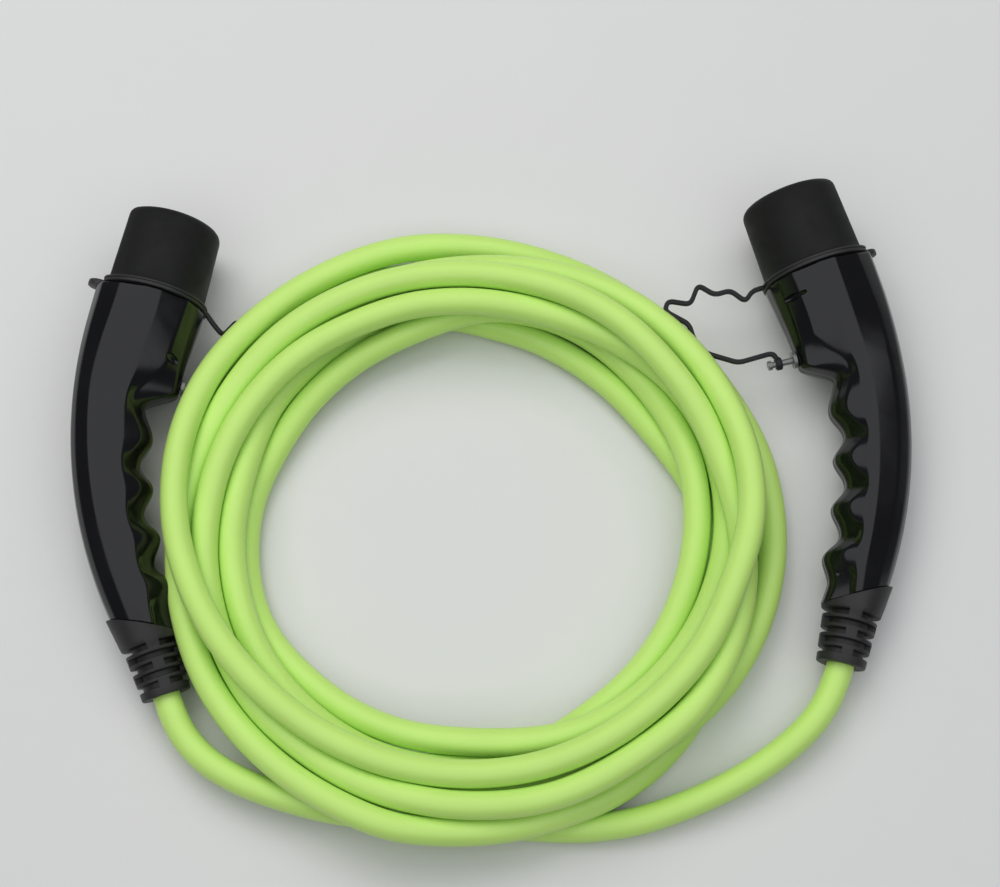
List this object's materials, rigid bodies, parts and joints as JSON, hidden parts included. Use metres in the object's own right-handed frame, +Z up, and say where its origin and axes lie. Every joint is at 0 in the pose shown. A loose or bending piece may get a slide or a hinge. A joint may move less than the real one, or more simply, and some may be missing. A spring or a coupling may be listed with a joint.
{
  "type": "electric vehicle charging cable",
  "caption": "Coiled charging cable for an electric vehicle, with a connector and a plug in moulded finger grips, dust caps on tethers and slotted strain reliefs.",
  "frame": {"origin": "on the floor under the middle of the two connectors", "axes": "+X from the vehicle connector to the station plug, +Y along the way the noses point, +Z up"},
  "size_m": [0.4596, 0.3624, 0.0627],
  "materials": {
    "cap_rubber": "matte",
    "tether_rubber": "matte",
    "grey_plastic": "satin",
    "shell_plastic": "gloss",
    "nose_plastic": "satin",
    "seal_rubber": "matte",
    "block_plastic": "satin",
    "silver_contact": "polished",
    "retainer_plastic": "satin",
    "resistor_body": "satin",
    "wire_jackets": "satin",
    "boot_rubber": "satin",
    "clamp_plastic": "satin",
    "screw_steel": "satin",
    "cable_jacket": "satin"
  },
  "bodies": {
    "cable": {"vehicle_tether": "tether_rubber", "vehicle_tether_pin": "grey_plastic", "vehicle_upper_shell": "shell_plastic", "vehicle_lower_shell": "shell_plastic", "vehicle_nose": "nose_plastic", "vehicle_nose_seal": "seal_rubber", "vehicle_contact_block": "block_plastic", "vehicle_contact_towers": "block_plastic", "vehicle_power_contacts": "silver_contact", "vehicle_signal_contacts": "silver_contact", "vehicle_contact_retainer": "retainer_plastic", "vehicle_coding_resistor": "resistor_body", "vehicle_wires": "wire_jackets", "vehicle_boot": "boot_rubber", "vehicle_cable_clamp": "clamp_plastic", "vehicle_clamp_screws": "screw_steel", "vehicle_shell_screws": "screw_steel", "station_tether": "tether_rubber", "station_tether_pin": "grey_plastic", "station_upper_shell": "shell_plastic", "station_lower_shell": "shell_plastic", "station_nose": "nose_plastic", "station_nose_seal": "seal_rubber", "station_contact_block": "block_plastic", "station_power_contacts": "silver_contact", "station_signal_contacts": "silver_contact", "station_contact_retainer": "retainer_plastic", "station_coding_resistor": "resistor_body", "station_wires": "wire_jackets", "station_boot": "boot_rubber", "station_cable_clamp": "clamp_plastic", "station_clamp_screws": "screw_steel", "station_shell_screws": "screw_steel", "cable_coil": "cable_jacket", "cable_tail_vehicle": "cable_jacket", "cable_tail_station": "cable_jacket"},
    "vehicle_dust_cap": {"vehicle_cap": "cap_rubber"},
    "station_dust_cap": {"station_cap": "cap_rubber"}
  },
  "joints": [
    {"name": "vehicle_cap_slide", "type": "slide", "parent": "cable", "child": "vehicle_dust_cap", "axis": [0.2164, 0.9762, 0.0161], "range_m": [0, 0.055], "deforming": ["vehicle_tether"]},
    {"name": "station_cap_slide", "type": "slide", "parent": "cable", "child": "station_dust_cap", "axis": [-0.3165, 0.9458, 0.0724], "range_m": [0, 0.055], "deforming": ["station_tether"]}
  ]
}
